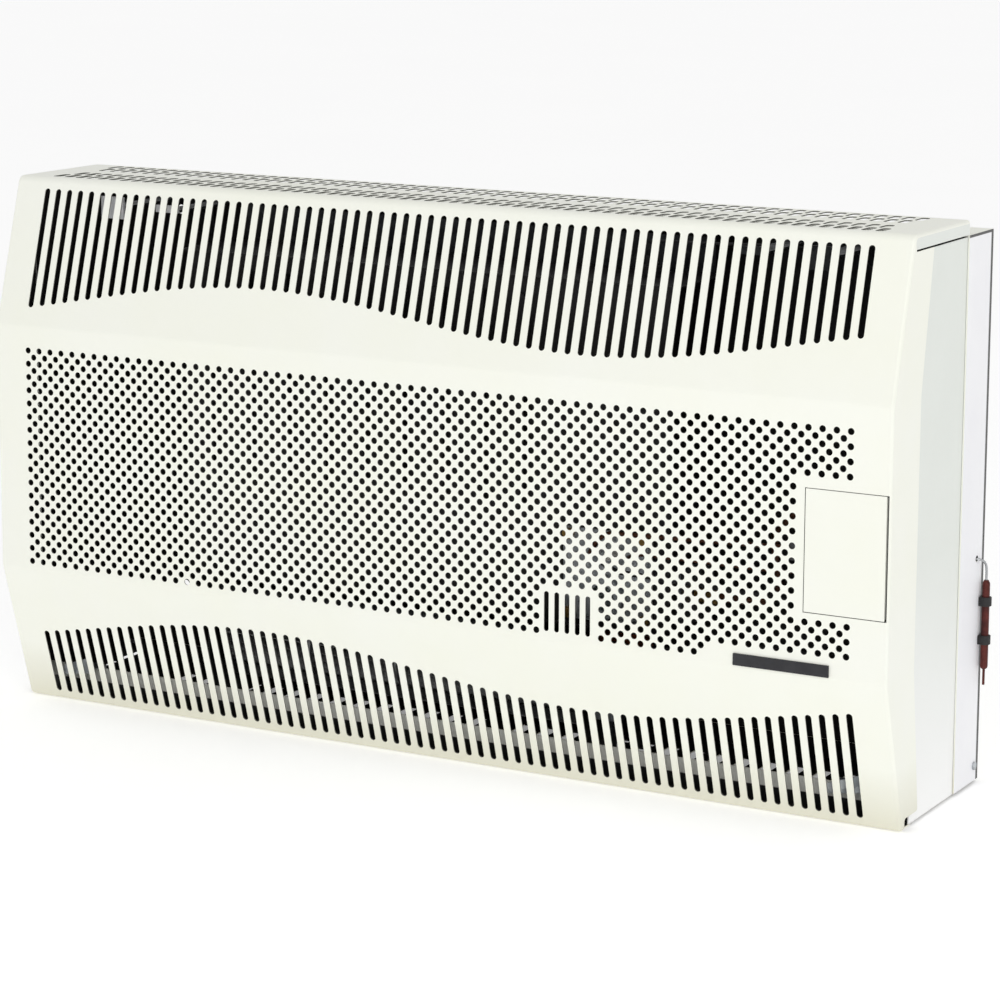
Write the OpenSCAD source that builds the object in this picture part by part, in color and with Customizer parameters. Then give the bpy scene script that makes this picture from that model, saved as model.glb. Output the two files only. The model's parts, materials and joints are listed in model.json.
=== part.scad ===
// Wall-hung gas fan convector heater with a balanced flue.
// X runs along the front from left to right, Y from the front to the wall, Z up.
// The origin is the middle of the underside, so the heater stands on Z = 0.

/* [Casing] */
// Overall width
body_w = 790; // [760:1:850]
// Overall height
body_h = 440; // [436:1:446]
// Depth from the front face to the wall
body_d = 190; // [188:1:194]
// Thickness of the casing sheet
sheet_t = 1.2; // [1:0.1:1.4]
// Height of the lower fold of the front
fold_low = 118; // [112:1:122]
// Height of the upper fold of the front
fold_high = 321; // [316:1:326]
// How far the front leans back at the top
lean_top = 34; // [28:1:38]
// How far the front leans back at the bottom
lean_bottom = 36; // [34:1:40]
// Depth of the cover's side returns
return_d = 52; // [49:1:54]

/* [Grilles] */
// Distance between two slots of a grille
pitch = 11; // [10.5:0.1:11.2]
// Width of a slot
slot_w = 5; // [3:0.1:6]
// Number of slots in the upper and lower grilles
slot_count = 67; // [41:2:67]
// Swing of the wavy line at which the slots end
wave = 14.3; // [0:0.1:16]

/* [Control door] */
// Width of the door
door_w = 62.6; // [60:0.1:63]
// Height of the door
door_h = 91; // [88:1:93]
// Height of the door's lower edge
door_z = 165.5; // [164:0.1:167]

/* [Heating] */
// Length of the combustion chamber
chamber_w = 440; // [400:1:445]
// Height of the combustion chamber
chamber_h = 270; // [250:1:275]
// Depth of the combustion chamber
chamber_d = 76; // [72:1:77]
// Outer diameter of the air intake collar
intake_dia = 150; // [145:1:152]
// Outer diameter of the exhaust pipe
exhaust_dia = 100; // [90:1:102]

/* [Fan] */
// Outer diameter of the fan wheel
fan_dia = 60; // [54:1:61]
// Length of the fan wheel
fan_len = 330; // [300:1:332]
// Number of fan blades
blade_count = 24; // [12:1:30]
// Diameter of the fan shaft
shaft_dia = 6; // [5:0.5:6]

/* [Controls] */
// Diameter of the control knob
knob_dia = 36; // [30:1:37]
// Diameter of the igniter button
button_dia = 11; // [9:0.5:11]

/* [Hidden] */
$fn = 48;
half_w = body_w / 2;
front_y = -110;
wall_y = front_y + body_d;
cream = "ivory";
zinc = "silver";
soot = "dimgray";

// Front cover
cover_back_y = front_y + 140;
return_back_y = front_y + return_d;
return_top_y = return_back_y + 19;
return_low_y = return_back_y + 14;
return_low_z = 9;
bottom_y = front_y + lean_bottom;
top_y = front_y + lean_top;
top_flange_h = 11;
bottom_lip = 22;
fold_steps = 5;
skin_path = [[bottom_y + bottom_lip, 0], [bottom_y, 0], [front_y, fold_low],
             [front_y, fold_high], [top_y, body_h], [cover_back_y, body_h]];
fold_r = [4, 14, 14, 7];
slot_top_z = body_h - 9;
slot_mid_top_z = 351;
slot_mid_low_z = 77;
slot_low_z = 7;
wave_freq = 0.606;
wave_droop = 1.21e-7;
top_slot_len = 19;
top_slot_w = 7;
// rows of the top grille: middle line, and 1 where the row is shifted by half a pitch
top_rows = [[-59, 0], [-39, 1], [-4, 1], [16, 0]];
sight_x = 136.1;
sight_z = 125;
sight_h = 31;
sight_pitch = 8.8;
sight_count = 5;

// Side panels sit behind the cover's returns and the wall frame's flanges
panel_out_x = half_w - sheet_t - 0.2;
panel_z = 1.5;
panel_front_y = return_back_y + 0.5;
panel_back_y = cover_back_y + 14;
panel_lip = 6;
panel_top_z = body_h - top_flange_h - 1.9;

// Hooks and clips of the cover
hook_x = [260, 314];
hook_z = 415;
hook_rise = [6, 10];
hook_drop = [0, 8];
hook_tip_y = front_y + 52;
clip_x = 348;

// Wall frame
frame_top_z = body_h - top_flange_h - 0.5;
frame_front_y = cover_back_y + 0.5;
plate_t = 1.5;
flue_x = 0;
flue_z = 300;
wall_hole_x = 340;
wall_hole_z = [70, 400];
wall_hole_dia = 8;
flank_screw = [wall_y - 9, 14];

// Control door
door_gap = 0.6;
door_right_x = half_w - 3.4;
door_left_x = door_right_x - door_w;
hinge_x = half_w - 6;
hinge_y = front_y + 3.5;
hinge_barrel_r = 2.5;
hinge_pin_r = 1;
running_gap = 0.05;
door_flange = 5;

// Combustion chamber
chamber_x = -250;
chamber_z = 115;
chamber_y = -45;
chamber_wall = 1.5;
chamber_right = chamber_x + chamber_w;
chamber_back = chamber_y + chamber_d;
chamber_top = chamber_z + chamber_h;
shield_top = chamber_top + 28;
rib_count = 9;
rib_w = 10;
rib_d = 6;
hatch_x = 100;
hatch_w = 76;
hatch_z = 121;
hatch_h = 72;
hatch_t = 2;
gasket_t = 1;
hatch_y = chamber_y - gasket_t - hatch_t;
glass_x = sight_x;
glass_z = 141;
glass_r = 13;
burner_z = 140;
burner_r = 14;

// Flue
intake_out = 25;
exhaust_out = 35;
flue_wall = 1;
duct_y = chamber_back + 17;
duct_back = wall_y - 8;
duct_w = 172;
duct_top = 384;

// Fan
fan_x = -230;
fan_y = 4;
fan_z = 60;
fan_r = fan_dia / 2;
fan_right = fan_x + fan_len;
shaft_r = shaft_dia / 2;
motor_x = fan_right + 18;
core_t = 20;

// Controls
control_x = 360;
knob_z = 226;
button_x = 345;
rocker_x = 371;
small_control_z = 187;
control_y = front_y + 26;
control_t = 1.5;
knob_len = 14;
knob_y = control_y - 4.5 - knob_len;
valve_y = -74;
valve_d = 46;
spindle_r = 4;
gas_x = 362;
gas_y = -34;
valve_port_y = -50;
gas_tube_r = 7.5;
union_r = 14;
gas_pipe_r = 10.48;

// Thermostat bulb on the right flank of the wall frame
bulb_x = half_w + 4.5;
bulb_y = wall_y - 5;
bulb_z = 90;
bulb_len = 70;
bulb_r = 3;
clip_zs = [110, 140];
capillary_z = 178;
terminal_y = wall_y - 12;
gland_y = wall_y - 26;

// A box between two opposite corners
module box(a, b) {
  translate(a) cube(b - a);
}

// Cylinders along X and along Y, starting at a point
module rod_x(p, r, l) {
  translate(p) rotate([0, 90, 0]) cylinder(r = r, h = l);
}
module rod_y(p, r, l) {
  translate(p) rotate([-90, 0, 0]) cylinder(r = r, h = l);
}
module rod_z(p, r, l) {
  translate(p) cylinder(r = r, h = l);
}

// A hexagon nut or head, with its axis along Y
module hex_y(p, across, l) {
  translate(p) rotate([-90, 0, 0]) cylinder(d = across / cos(30), h = l, $fn = 6);
}

function unit(v) = v / norm(v);

// A route with each inner corner turned into a smooth bend
function bend_at(a, p, b, bend) =
  let (from = p + unit(a - p) * min(bend, norm(a - p) / 2.2),
       to = p + unit(b - p) * min(bend, norm(b - p) / 2.2))
  [for (k = [0 : 4])
    let (u = k / 4) from * (1 - u) * (1 - u) + p * 2 * u * (1 - u) + to * u * u];
function bent_route(route, bend) =
  [route[0],
   for (k = [1 : len(route) - 2]) each bend_at(route[k - 1], route[k], route[k + 1], bend),
   route[len(route) - 1]];

// Normals carried along the tangents without twist
function carried(tangents, k, n) =
  k == len(tangents) ? [] :
  let (m = unit(n - tangents[k] * (n * tangents[k])))
  concat([m], carried(tangents, k + 1, m));

// A bent tube along a list of points
module bent_tube(route, r, bend = 10, sides = 10) {
  line = bent_route(route, bend);
  last = len(line) - 1;
  tangents = [for (k = [0 : last]) unit(line[min(k + 1, last)] - line[max(k - 1, 0)])];
  side = abs(tangents[0][0]) < 0.9 ? [1, 0, 0] : [0, 1, 0];
  normals = carried(tangents, 0, side);
  rings = [for (k = [0 : last], s = [0 : sides - 1])
    line[k] + r * (cos(s * 360 / sides) * normals[k]
                   + sin(s * 360 / sides) * cross(tangents[k], normals[k]))];
  walls = [for (k = [0 : last - 1], s = [0 : sides - 1])
    let (next = (s + 1) % sides)
    [k * sides + s, (k + 1) * sides + s, (k + 1) * sides + next, k * sides + next]];
  polyhedron(rings, concat(
    [[for (s = [0 : sides - 1]) s]],
    walls,
    [[for (s = [sides - 1 : -1 : 0]) last * sides + s]]), convexity = 4);
}

// The arc of a fold at p between a and b, moved inwards by inset
function fold_arc(a, p, b, r, inset) =
  let (u = unit(a - p),
       w = unit(b - p),
       half = acos(u * w) / 2,
       c = p + unit(u + w) * r / sin(half),
       from = p + u * r / tan(half) - c,
       to = p + w * r / tan(half) - c,
       start = atan2(from[1], from[0]),
       turn = (atan2(to[1], to[0]) - start + 540) % 360 - 180)
  [for (k = [0 : fold_steps])
    c + (r - inset) * [cos(start + turn * k / fold_steps), sin(start + turn * k / fold_steps)]];

// The folded line of the cover, seen from the side
function skin_line(inset) =
  [for (n = [1 : 4])
    each fold_arc(skin_path[n - 1], skin_path[n], skin_path[n + 1], fold_r[n - 1], inset)];
function reversed(list) = [for (k = [len(list) - 1 : -1 : 0]) list[k]];

// Height change of the wavy line at x, downwards positive
function wave_at(x) = wave * sin(wave_freq * x) - wave_droop * pow(x, 3);

// An outline in the Y-Z plane, run along X from x for a length
module side_extrude(x, length) {
  translate([x, 0, 0]) rotate([90, 0, 90]) linear_extrude(length) children();
}

module cover_shell() {
  side_extrude(-half_w, body_w)
    polygon(concat(
      [skin_path[0]],
      skin_line(0),
      [skin_path[5], skin_path[5] - [0, sheet_t]],
      reversed(skin_line(sheet_t)),
      [skin_path[0] + [0, sheet_t]]));
  for (x = [-half_w, half_w - sheet_t])
    side_extrude(x, sheet_t)
      polygon(concat(
        skin_line(0),
        [skin_path[5], [cover_back_y, body_h - top_flange_h],
         [return_top_y, body_h - top_flange_h], [return_back_y, fold_high],
         [return_back_y, fold_low], [return_low_y, return_low_z],
         [bottom_y + 5, return_low_z], [bottom_y + 5, 0]]));
}

module front_cover() {
  color(cream)
  difference() {
    cover_shell();
    // upper and lower grilles, ending on the wavy line
    for (i = [-(slot_count - 1) / 2 : (slot_count - 1) / 2]) {
      x = i * pitch;
      box([x - slot_w / 2, front_y - 1, slot_mid_top_z - wave_at(x)],
          [x + slot_w / 2, top_y - 1, slot_top_z]);
      box([x - slot_w / 2, front_y - 1, slot_low_z],
          [x + slot_w / 2, bottom_y + 4, slot_mid_low_z - wave_at(x)]);
    }
    // slots in front of the sight glass
    for (k = [0 : sight_count - 1])
      box([sight_x + (k - 2) * sight_pitch - 2, front_y - 1, sight_z],
          [sight_x + (k - 2) * sight_pitch + 2, front_y + 3, sight_z + sight_h]);
    // warm air grille in the top
    for (row = top_rows)
      for (i = [-(slot_count - 1) / 2 : (slot_count - 1) / 2 - row[1]]) {
        x = (i + row[1] / 2) * pitch;
        box([x - top_slot_w / 2, row[0] - top_slot_len / 2, body_h - 3],
            [x + top_slot_w / 2, row[0] + top_slot_len / 2, body_h + 1]);
      }
    // opening for the control door
    box([door_left_x - door_gap, front_y - 1, door_z - door_gap],
        [half_w - sheet_t, front_y + 2, door_z + door_h + door_gap]);
  }
}

module side_panel(side) {
  color("gainsboro")
  union() {
    box([side * panel_out_x - (side > 0 ? sheet_t : 0), panel_front_y, panel_z],
        [side * panel_out_x + (side > 0 ? 0 : sheet_t), panel_back_y, panel_top_z]);
    // stiffening lip along the rear edge
    box([side > 0 ? panel_out_x - panel_lip : -panel_out_x, panel_back_y - sheet_t, panel_z],
        [side > 0 ? panel_out_x : -panel_out_x + panel_lip, panel_back_y, panel_top_z]);
  }
}
module side_panel_left() {
  side_panel(-1);
}
module side_panel_right() {
  side_panel(1);
}

module wall_frame() {
  color(cream)
  difference() {
    union() {
      box([-half_w, wall_y - plate_t, 2], [half_w, wall_y, frame_top_z]);
      for (x = [-half_w, half_w - sheet_t])
        box([x, frame_front_y, 2], [x + sheet_t, wall_y, frame_top_z]);
      box([-half_w, frame_front_y, frame_top_z - sheet_t], [half_w, wall_y, frame_top_z]);
    }
    rod_y([flue_x, wall_y - 5, flue_z], intake_dia / 2 + 2, 10);
    // keyholes for the wall screws
    for (x = [-wall_hole_x, wall_hole_x], z = wall_hole_z) {
      rod_y([x, wall_y - 5, z], wall_hole_dia / 2, 10);
    }
    rod_x([half_w - 5, bulb_y - 10, capillary_z], 2.5, 10);
    // lower screws of the flanks
    for (x = [-half_w - 5, half_w - 5])
      rod_x([x, flank_screw[0], flank_screw[1]], 2.1, 10);
  }
}

module base_pan() {
  front = bottom_y + bottom_lip + 0.5;
  edge = half_w - 4;
  color(cream)
  difference() {
    union() {
      box([-edge, front, 0], [edge, wall_y - plate_t - 0.2, sheet_t]);
      box([-edge, front, 0], [edge, front + sheet_t, 24]);
      box([-edge, wall_y - plate_t - 0.2 - sheet_t, 0], [edge, wall_y - plate_t - 0.2, 16]);
    }
    // room air inlet slots under the fan
    for (i = [-14 : 14], y = [-40, 8])
      if (i != 0)
        box([i * 2 * pitch - slot_w, y, -1], [i * 2 * pitch + slot_w, y + 36, 3]);
    rod_z([gas_x, gas_y, -1], 14, 5);
    rod_z([330, gland_y, -1], 8.2, 5);
  }
}

module control_door() {
  color(cream)
  difference() {
    union() {
      box([door_left_x, front_y, door_z], [door_right_x, front_y + sheet_t, door_z + door_h]);
      // folded edges
      box([door_left_x, front_y, door_z], [door_left_x + sheet_t, front_y + door_flange, door_z + door_h]);
      for (z = [door_z, door_z + door_h - sheet_t])
        box([door_left_x, front_y, z], [hinge_x - 6, front_y + door_flange, z + sheet_t]);
      // hinge barrel
      rod_z([hinge_x, hinge_y, door_z + 1], hinge_barrel_r, door_h - 2);
    }
    for (z = [door_z - 1, door_z + door_h - 8])
      rod_z([hinge_x, hinge_y, z], hinge_pin_r + running_gap, 9);
  }
}

module hinge_brackets() {
  color(zinc)
  for (end = [0, 1]) {
    z = end == 0 ? door_z - 7 : door_z + door_h + 1;
    box([hinge_x - 8, front_y + sheet_t + 0.1, z], [hinge_x + 4, front_y + 7, z + 6]);
    rod_z([hinge_x, hinge_y, end == 0 ? z + 5 : z - 6], hinge_pin_r, 7);
  }
}

module door_magnet() {
  z0 = door_z + door_h / 2 - 9;
  z1 = z0 + 18;
  arm_y = front_y + 11;
  color(soot)
  union() {
    box([door_left_x + 2.5, front_y + sheet_t + 0.4, z0], [door_left_x + 8, arm_y, z1]);
    // bracket, fixed behind the cover's sheet
    box([door_left_x - 13, arm_y, z0], [door_left_x + 8, arm_y + 1.5, z1]);
    box([door_left_x - 13, front_y + sheet_t + 0.1, z0], [door_left_x - 11.5, arm_y + 1.5, z1]);
    box([door_left_x - 13, front_y + sheet_t + 0.1, z0], [door_left_x - 3, front_y + sheet_t + 1.6, z1]);
  }
}

module nameplate() {
  color("black")
  box([274, front_y - 1.2, 119], [350, front_y, 128]);
}

// Arms on the wall frame from which the cover hangs; the outer pair has taller tips
module cover_hooks() {
  root_y = wall_y - plate_t;
  color(zinc)
  for (side = [-1, 1], k = [0, 1]) {
    x = side * hook_x[k];
    box([x - 9, hook_tip_y, hook_z], [x + 9, root_y, hook_z + 2]);
    box([x - 9, root_y - 2, hook_z - 34], [x + 9, root_y, hook_z + 2]);
    box([x - 11, hook_tip_y, hook_z - hook_drop[k]], [x + 11, hook_tip_y + 2, hook_z + hook_rise[k]]);
  }
}

// Clips on the base pan's upstand that hold the cover's lower edge
module cover_clips() {
  upstand_y = bottom_y + bottom_lip + 0.5 + sheet_t;
  clip_top = 27;
  nose_y = bottom_y + 3;
  color(zinc)
  for (side = [-1, 1]) {
    box([side * clip_x - 14, upstand_y, 6], [side * clip_x + 14, upstand_y + 1.5, clip_top]);
    box([side * clip_x - 14, nose_y, clip_top - 1.5], [side * clip_x + 14, upstand_y + 1.5, clip_top]);
    translate([side * clip_x, nose_y + 1.5, 0]) rotate([90, 0, 0]) linear_extrude(1.5)
      polygon([[-14, 20], [14, 24], [14, 38], [-14, 28]]);
  }
}

// Self-tapping screws low on the flanks
module casing_screws() {
  head_h = 1.4;
  color(zinc)
  for (side = [-1, 1]) {
    rod_x([side > 0 ? half_w : -half_w - head_h, flank_screw[0], flank_screw[1]], 3.2, head_h);
    rod_x([side > 0 ? half_w - 6 : -half_w, flank_screw[0], flank_screw[1]], 1.9, 6);
  }
}

module combustion_chamber() {
  color(soot)
  difference() {
    union() {
      box([chamber_x, chamber_y, chamber_z], [chamber_right, chamber_back, chamber_top]);
      // pressed vertical ribs on the front
      for (k = [0 : rib_count - 1])
        box([chamber_x + 18 + k * 36, chamber_y - rib_d, chamber_z + 90],
            [chamber_x + 18 + k * 36 + rib_w, chamber_y + 1, chamber_top - 14]);
      // welded seam flange round the top and the bottom
      for (z = [chamber_z, chamber_top - chamber_wall])
        box([chamber_x - 6, chamber_y - 4, z], [chamber_right + 6, chamber_back + 4, z + chamber_wall]);
    }
    box([chamber_x + chamber_wall, chamber_y + chamber_wall, chamber_z + chamber_wall],
        [chamber_right - chamber_wall, chamber_back - chamber_wall, chamber_top - chamber_wall]);
    // hatch opening in front of the burner
    box([hatch_x + 10, chamber_y - 8, hatch_z + 8],
        [hatch_x + hatch_w - 10, chamber_y + 3, hatch_z + hatch_h - 8]);
    // exhaust outlet and air inlet in the back
    rod_y([flue_x, chamber_back - 5, flue_z], exhaust_dia / 2 + 0.3, 10);
    box([-60, chamber_back - 5, chamber_z + 10], [60, chamber_back + 5, chamber_z + 34]);
    // burner port in the right end
    rod_x([chamber_right - 5, 0, burner_z], burner_r + 0.3, 10);
  }
}

module chamber_brackets() {
  color(zinc)
  for (x = [chamber_x + 30, chamber_right - 60], z = [chamber_z + 40, chamber_top - 60]) {
    box([x, chamber_back + 0.1, z], [x + 20, chamber_back + 2, z + 34]);
    box([x, chamber_back + 0.1, z], [x + 20, wall_y - plate_t - 0.1, z + 2]);
    box([x, wall_y - plate_t - 2.1, z], [x + 20, wall_y - plate_t - 0.1, z + 34]);
  }
}

module heat_shield() {
  color(zinc)
  difference() {
    box([chamber_x + 4, chamber_back + 6, chamber_z], [chamber_right - 4, chamber_back + 7, shield_top]);
    rod_y([flue_x, chamber_back + 1, flue_z], exhaust_dia / 2 + 3, 20);
    box([-64, chamber_back + 1, chamber_z + 6], [64, chamber_back + 20, chamber_z + 38]);
    for (x = [chamber_x + 30, chamber_right - 60], z = [chamber_z + 40, chamber_top - 60])
      box([x - 1, chamber_back + 1, z - 1], [x + 21, chamber_back + 20, z + 3]);
  }
}

// Hatch plate on the chamber's front, which carries the pilot and the sight glass
module burner_hatch() {
  color(zinc)
  difference() {
    box([hatch_x, hatch_y, hatch_z], [hatch_x + hatch_w, hatch_y + hatch_t, hatch_z + hatch_h]);
    rod_y([glass_x, hatch_y - 1, glass_z], 10, 5);
    hatch_holes(hatch_y - 1, 2.6, 5);
    rod_y([hatch_x + 60, hatch_y - 1, 176], 2.1, 5);
    rod_y([hatch_x + 44, hatch_y - 1, 176], 3.6, 5);
    rod_y([hatch_x + 28, hatch_y - 1, 176], 2.1, 5);
  }
}
module hatch_holes(y, r, l) {
  for (x = [hatch_x + 5, hatch_x + hatch_w - 5], z = [hatch_z + 5, hatch_z + hatch_h - 5])
    rod_y([x, y, z], r, l);
}

module hatch_gasket() {
  color("darkgray")
  difference() {
    box([hatch_x, chamber_y - gasket_t, hatch_z], [hatch_x + hatch_w, chamber_y, hatch_z + hatch_h]);
    box([hatch_x + 10, chamber_y - 5, hatch_z + 8], [hatch_x + hatch_w - 10, chamber_y + 5, hatch_z + hatch_h - 8]);
    hatch_holes(chamber_y - 3, 2.6, 5);
  }
}

module hatch_nuts() {
  color("goldenrod")
  for (x = [hatch_x + 5, hatch_x + hatch_w - 5], z = [hatch_z + 5, hatch_z + hatch_h - 5]) {
    hex_y([x, hatch_y - 4, z], 8, 4);
    rod_y([x, hatch_y - 4.5, z], 2.4, 4.5 + hatch_t + gasket_t);
  }
}

module sight_glass() {
  color("lightcyan")
  rod_y([glass_x, hatch_y - 3, glass_z], glass_r, 3);
}

module sight_glass_ring() {
  color(zinc)
  difference() {
    rod_y([glass_x, hatch_y - 5, glass_z], glass_r + 4, 5);
    rod_y([glass_x, hatch_y - 3, glass_z], glass_r + 0.05, 4);
    rod_y([glass_x, hatch_y - 6, glass_z], glass_r - 3, 4);
  }
}

module intake_collar() {
  color(zinc)
  difference() {
    union() {
      rod_y([flue_x, wall_y - 2, flue_z], intake_dia / 2, 2 + intake_out);
      rod_y([flue_x, wall_y - 3, flue_z], intake_dia / 2 + 1.8, 3);
      rod_y([flue_x, wall_y - plate_t - 1.7, flue_z], intake_dia / 2 + 9, 1.5);
    }
    rod_y([flue_x, wall_y - 8, flue_z], intake_dia / 2 - flue_wall, 20 + intake_out);
  }
}

module exhaust_pipe() {
  color("lightgray")
  difference() {
    union() {
      rod_y([flue_x, chamber_back - chamber_wall, flue_z], exhaust_dia / 2,
            wall_y + exhaust_out - chamber_back + chamber_wall);
      rod_y([flue_x, chamber_back + 0.1, flue_z], exhaust_dia / 2 + 2.4, 2);
    }
    rod_y([flue_x, chamber_back - 5, flue_z], exhaust_dia / 2 - flue_wall, 200);
  }
}

module flue_gasket() {
  color("darkgray")
  difference() {
    rod_y([flue_x, duct_back + 0.2, flue_z], intake_dia / 2 + 8, 4.4);
    rod_y([flue_x, duct_back - 10, flue_z], intake_dia / 2 - 4, 20);
  }
}

// Duct that brings the combustion air down to the burner
module intake_duct() {
  color(zinc)
  difference() {
    union() {
      box([-duct_w / 2, duct_y, chamber_z + 4], [duct_w / 2, duct_back, duct_top]);
      box([-59.7, chamber_back - chamber_wall, chamber_z + 10.3], [59.7, duct_y + 1, chamber_z + 33.7]);
    }
    box([-duct_w / 2 + 1, duct_y + 1, chamber_z + 5], [duct_w / 2 - 1, duct_back - 1, duct_top - 1]);
    box([-58.7, chamber_back - 5, chamber_z + 11.3], [58.7, duct_y + 5, chamber_z + 32.7]);
    rod_y([flue_x, duct_y - 1, flue_z], exhaust_dia / 2 + 0.3, 5);
    rod_y([flue_x, duct_back - 5, flue_z], intake_dia / 2 - 4, 10);
  }
}

module burner_tube() {
  color("slategray")
  difference() {
    union() {
      rod_x([chamber_x + 14, 0, burner_z], burner_r, chamber_w - 14);
    }
    rod_x([chamber_x + 15, 0, burner_z], burner_r - 1, chamber_w + 10);
    // flame ports
    for (k = [0 : 30])
      box([chamber_x + 26 + k * 12, -5, burner_z + 6], [chamber_x + 28 + k * 12, 5, burner_z + 20]);
  }
}

module burner_flange() {
  color(zinc)
  difference() {
    box([chamber_right + 0.1, -30, burner_z - 22], [chamber_right + 2.1, 30, burner_z + 24]);
    rod_x([chamber_right - 1, 0, burner_z], 5.1, 5);
  }
}

module gas_injector() {
  color("goldenrod")
  difference() {
    union() {
      rod_x([chamber_right - 6, 0, burner_z], 5, 14);
      translate([chamber_right + 2.3, 0, burner_z]) rotate([0, 90, 0]) cylinder(r = 8, h = 10, $fn = 6);
    }
    rod_x([chamber_right - 7, 0, burner_z], 0.8, 30);
  }
}

module pilot_burner() {
  color("goldenrod")
  union() {
    box([hatch_x + 20, chamber_y + 2, 166], [hatch_x + 66, chamber_y + 22, 168]);
    rod_z([hatch_x + 28, -35, 158], 5, 22);
    rod_y([hatch_x + 28, hatch_y - 4, 176], 2, 13);
  }
}

module thermocouple() {
  color("peru")
  bent_tube([[hatch_x + 60, -32, 186], [hatch_x + 60, -32, 176], [hatch_x + 60, -60, 176],
             [hatch_x + 72, -66, 182], [300, -66, 182], [332, -60, 192], [332, -60, 205.9]], 1.5);
}

module spark_electrode() {
  color("white")
  union() {
    rod_y([hatch_x + 44, hatch_y - 12, 176], 3.4, 24);
    rod_y([hatch_x + 44, hatch_y - 18, 176], 1.2, 44);
  }
}

module ignition_lead() {
  color("saddlebrown")
  bent_tube([[hatch_x + 44, hatch_y - 18.2, 176], [hatch_x + 44, -74, 176], [hatch_x + 60, -80, 170],
             [280, -80, 166], [316, -50, 160], [button_x, -38, 166], [button_x, -30, 178],
             [button_x, -32, small_control_z], [button_x, -42.2, small_control_z]], 2);
}

module pilot_tube() {
  color("peru")
  bent_tube([[hatch_x + 28, hatch_y - 4.2, 176], [hatch_x + 28, -60, 176], [hatch_x + 40, -60, 194],
             [290, -54, 198], [316, -46, 212], [328.9, -46, 212]], 2);
}

module gas_valve() {
  x0 = 325;
  x1 = 386;
  color("lightslategray")
  difference() {
    union() {
      box([x0 + 4, valve_y, 206], [x1 - 4, valve_y + valve_d, 248]);
      // bonnet of the spindle
      rod_y([control_x, valve_y - 8, knob_z], 13, 9);
      // flow bosses and magnet unit
      rod_z([gas_x, gas_y, 196], 12, 12);
      rod_x([x0, valve_port_y, knob_z], 9, 8);
      rod_x([x1 - 8, valve_port_y, knob_z], 10, 6);
      box([x0 + 12, valve_y + valve_d - 1, 212], [x1 - 14, valve_y + valve_d + 10, 244]);
    }
    rod_y([control_x, valve_y - 10, knob_z], spindle_r + running_gap, 34);
    rod_z([gas_x, gas_y, 195], 5.5, 12);
    rod_x([x0 - 1, valve_port_y, knob_z], 4.1, 12);
  }
}

module valve_bracket() {
  color(zinc)
  union() {
    box([330, valve_y + valve_d + 10.2, 204], [382, valve_y + valve_d + 12, 250]);
    box([330, valve_y + valve_d + 10.2, 248], [382, wall_y - plate_t - 0.2, 250]);
    box([330, wall_y - plate_t - 2, 230], [382, wall_y - plate_t - 0.2, 250]);
  }
}

module valve_spindle() {
  color("silver")
  union() {
    rod_y([control_x, valve_y - 8, knob_z], spindle_r, 24);
    rod_y([control_x, knob_y + 3, knob_z], spindle_r, valve_y - 8 - knob_y - 3);
  }
}

module spring_cup() {
  color(zinc)
  difference() {
    rod_y([control_x, knob_y + knob_len + 0.3, knob_z], 8, 1.2);
    rod_y([control_x, knob_y + knob_len - 1, knob_z], spindle_r + running_gap, 4);
  }
}

module control_knob() {
  color("black")
  difference() {
    union() {
      rod_y([control_x, knob_y + 4, knob_z], knob_dia / 2, knob_len - 4);
      rod_y([control_x, knob_y, knob_z], knob_dia / 2 - 3, 5);
      // pointer bar
      box([control_x - 3, knob_y - 2, knob_z - knob_dia / 2 + 4],
          [control_x + 3, knob_y + 2, knob_z + knob_dia / 2 - 4]);
    }
    rod_y([control_x, knob_y + 3, knob_z], spindle_r + running_gap, knob_len);
    // grip flutes
    for (a = [0 : 30 : 330])
      translate([control_x, 0, knob_z]) rotate([0, a, 0])
        rod_y([knob_dia / 2 + 1, knob_y + 3.5, 0], 2.2, knob_len);
  }
}

module control_panel() {
  color(soot)
  difference() {
    union() {
      box([334, control_y, 168], [388, control_y + control_t, 254]);
      box([334, control_y, 168], [388, valve_y + valve_d + 10, 169.5]);
    }
    rod_y([control_x, control_y - 1, knob_z], 14, 4);
    rod_y([button_x, control_y - 1, small_control_z], 8.2, 4);
    box([rocker_x - 6.7, control_y - 1, small_control_z - 11.2],
        [rocker_x + 6.7, control_y + 4, small_control_z + 11.2]);
    rod_z([gas_x, gas_y, 160], 10, 20);
    box([330, -48, 160], [350, -26, 180]);
    box([373, -40, 160], [384, -20, 180]);
  }
}

module igniter_body() {
  color("black")
  difference() {
    union() {
      rod_y([button_x, control_y - 2, small_control_z], 10, 2);
      rod_y([button_x, control_y - 0.5, small_control_z], 8, 38);
      rod_y([button_x, control_y + 37, small_control_z], 3, 4.6);
    }
    rod_y([button_x, control_y - 3, small_control_z], button_dia / 2 + 0.06, 27);
  }
}

module igniter_button() {
  color("firebrick")
  union() {
    rod_y([button_x, control_y - 9, small_control_z], button_dia / 2, 26);
    rod_y([button_x, control_y - 9.8, small_control_z], button_dia / 2 - 1, 2);
  }
}

module switch_body() {
  color("black")
  difference() {
    union() {
      box([rocker_x - 8.5, control_y - 2, small_control_z - 13.5],
          [rocker_x + 8.5, control_y - 0.1, small_control_z + 13.5]);
      box([rocker_x - 6.5, control_y - 1, small_control_z - 11],
          [rocker_x + 6.5, control_y + 18, small_control_z + 11]);
      for (z = [-6, 0, 6])
        box([rocker_x - 3, control_y + 17, small_control_z + z - 0.5],
            [rocker_x + 3, control_y + 26, small_control_z + z + 0.5]);
    }
    box([rocker_x - 5.2, control_y - 4, small_control_z - 10],
        [rocker_x + 5.2, control_y + 10, small_control_z + 10]);
    rod_x([rocker_x - 6, control_y + 2, small_control_z], 1.05, 12);
  }
}

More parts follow.
